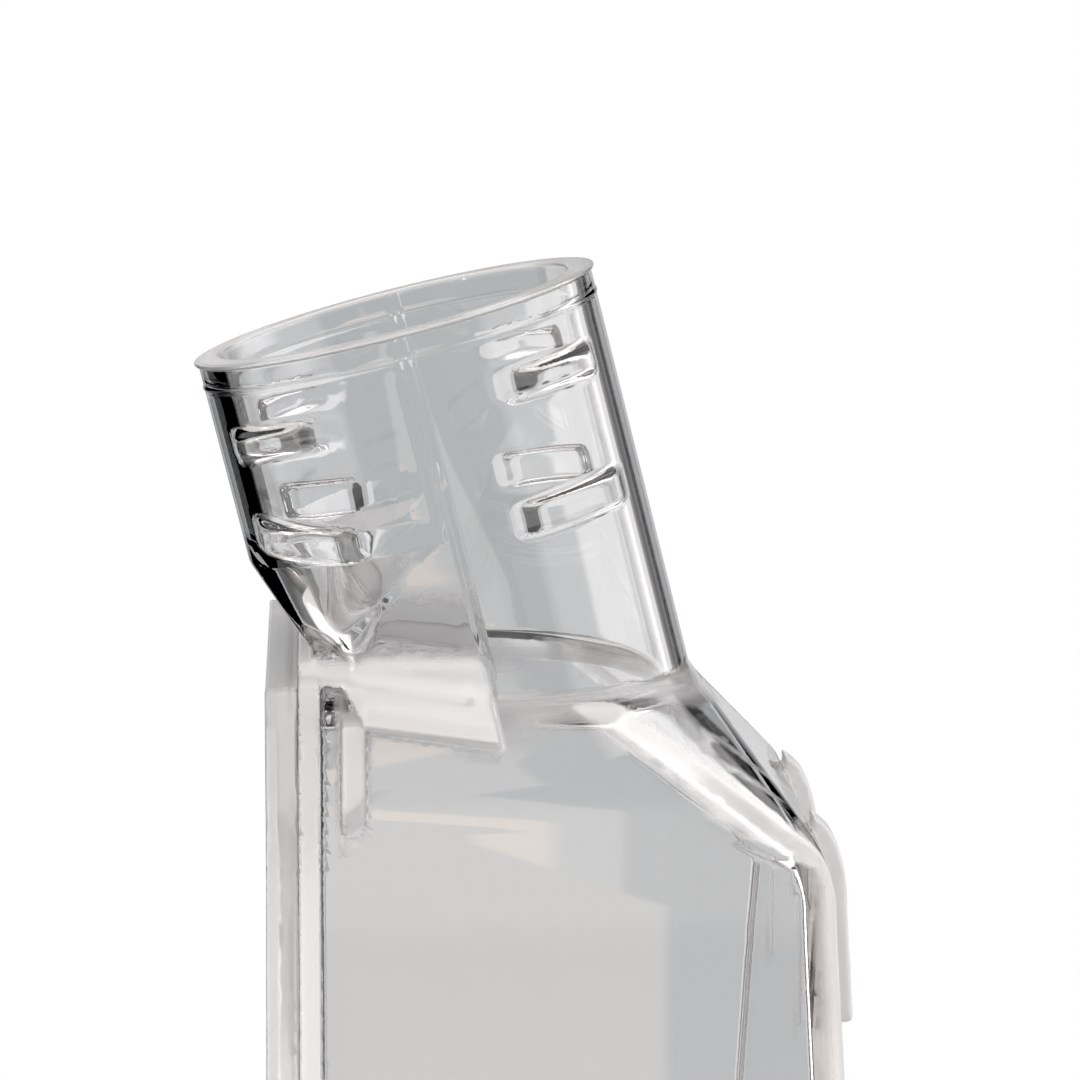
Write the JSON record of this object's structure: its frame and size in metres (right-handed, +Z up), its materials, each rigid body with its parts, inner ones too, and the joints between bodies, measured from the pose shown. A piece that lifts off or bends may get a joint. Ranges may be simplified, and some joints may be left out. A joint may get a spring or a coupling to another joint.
{
  "type": "cell culture flask",
  "caption": "Clear tissue culture flask with a canted threaded neck, a pouring ramp and a welded top plate, without its cap.",
  "frame": {"origin": "middle of the bounding box, on the bottom end that the flask stands on", "axes": "+Z up towards the mouth, +X through the thickness towards the growth floor, +Y across the width"},
  "size_m": [0.0468, 0.0864, 0.1466],
  "materials": {
    "clear_shell": "clear moulded polystyrene, polished, with a frosted collar",
    "clear_plate": "clear moulded polystyrene, polished, welded along its edge"
  },
  "bodies": {
    "root": {"body_shell": "clear_shell", "top_plate": "clear_plate"}
  },
  "joints": []
}
